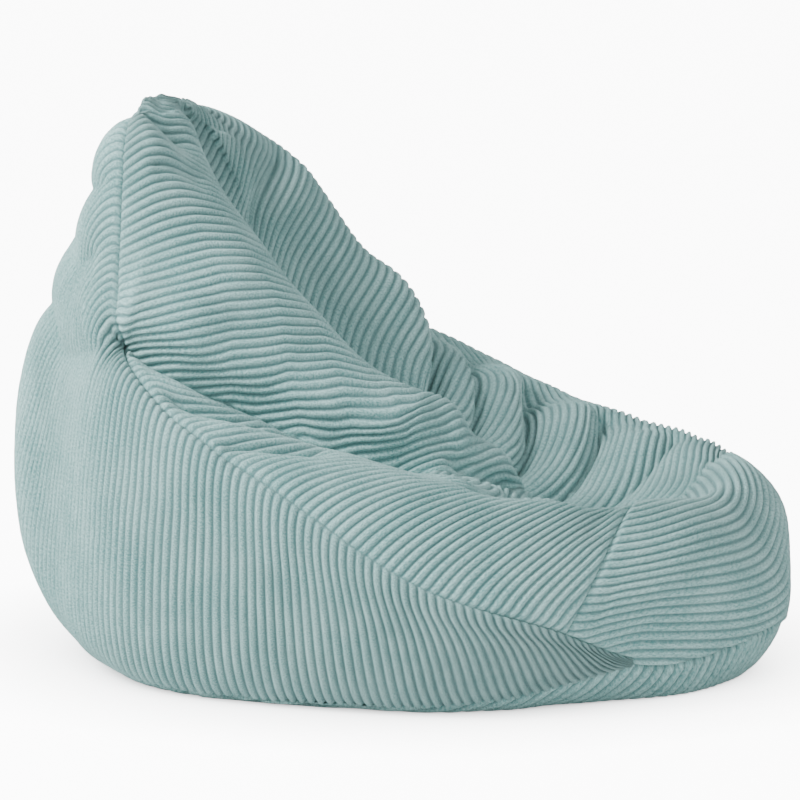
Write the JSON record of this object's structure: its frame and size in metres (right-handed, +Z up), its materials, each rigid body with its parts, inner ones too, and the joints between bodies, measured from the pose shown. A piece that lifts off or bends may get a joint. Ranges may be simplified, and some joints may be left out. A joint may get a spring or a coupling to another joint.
{
  "type": "bean bag chair",
  "caption": "Low reclining bean bag lounger: wide-rib corduroy cover sewn from panels round a zipped liner of loose beads, with a high back, a pressed-out seat and a rounded front lip.",
  "frame": {"origin": "on the floor, at the centre of the bag's bounding box", "axes": "+Z up; the sitter faces -Y, so +Y runs from the front lip to the back; +X to the side"},
  "size_m": [0.901, 1.0598, 0.745],
  "materials": {
    "corduroy": "matte",
    "liner_cloth": "matte",
    "beads": "matte",
    "zip_tape": "matte",
    "zip_teeth": "satin",
    "zip_metal": "satin"
  },
  "bodies": {
    "bag": {"cover_front_panel": "corduroy", "cover_wall_panel_left": "corduroy", "cover_wall_panel_right": "corduroy", "cover_seat_panel_left": "corduroy", "cover_seat_panel_right": "corduroy", "cover_base_panel_left": "corduroy", "cover_base_panel_right": "corduroy", "liner_panel_left": "liner_cloth", "liner_panel_right": "liner_cloth", "liner_base_panel": "liner_cloth", "bead_fill": "beads", "cover_zip_tape_left": "zip_tape", "cover_zip_tape_right": "zip_tape", "cover_zip_teeth": "zip_teeth", "cover_zip_top_stop": "zip_metal", "cover_zip_bottom_stop": "zip_metal", "liner_zip_tape_left": "zip_tape", "liner_zip_tape_right": "zip_tape", "liner_zip_teeth": "zip_teeth", "liner_zip_top_stop": "zip_metal", "liner_zip_bottom_stop": "zip_metal"},
    "cover_zip_slider": {"cover_zip_slider": "zip_metal"},
    "cover_zip_pull": {"cover_zip_pull": "zip_metal"},
    "liner_zip_slider": {"liner_zip_slider": "zip_metal"}
  },
  "joints": [
    {"name": "cover_zip_slide", "type": "slide", "parent": "bag", "child": "cover_zip_slider", "axis": [0, 1, 0], "range_m": [0, 0.46], "deforming": ["cover_zip_teeth"]},
    {"name": "cover_zip_pull_turn", "type": "hinge", "parent": "cover_zip_slider", "child": "cover_zip_pull", "pos_m": [0, -0.231, 0.00175], "axis": [1, 0, 0], "range_deg": [-165, 0]},
    {"name": "liner_zip_slide", "type": "slide", "parent": "bag", "child": "liner_zip_slider", "axis": [0, 1, 0], "range_m": [0, 0.36], "deforming": ["liner_zip_teeth"]}
  ]
}
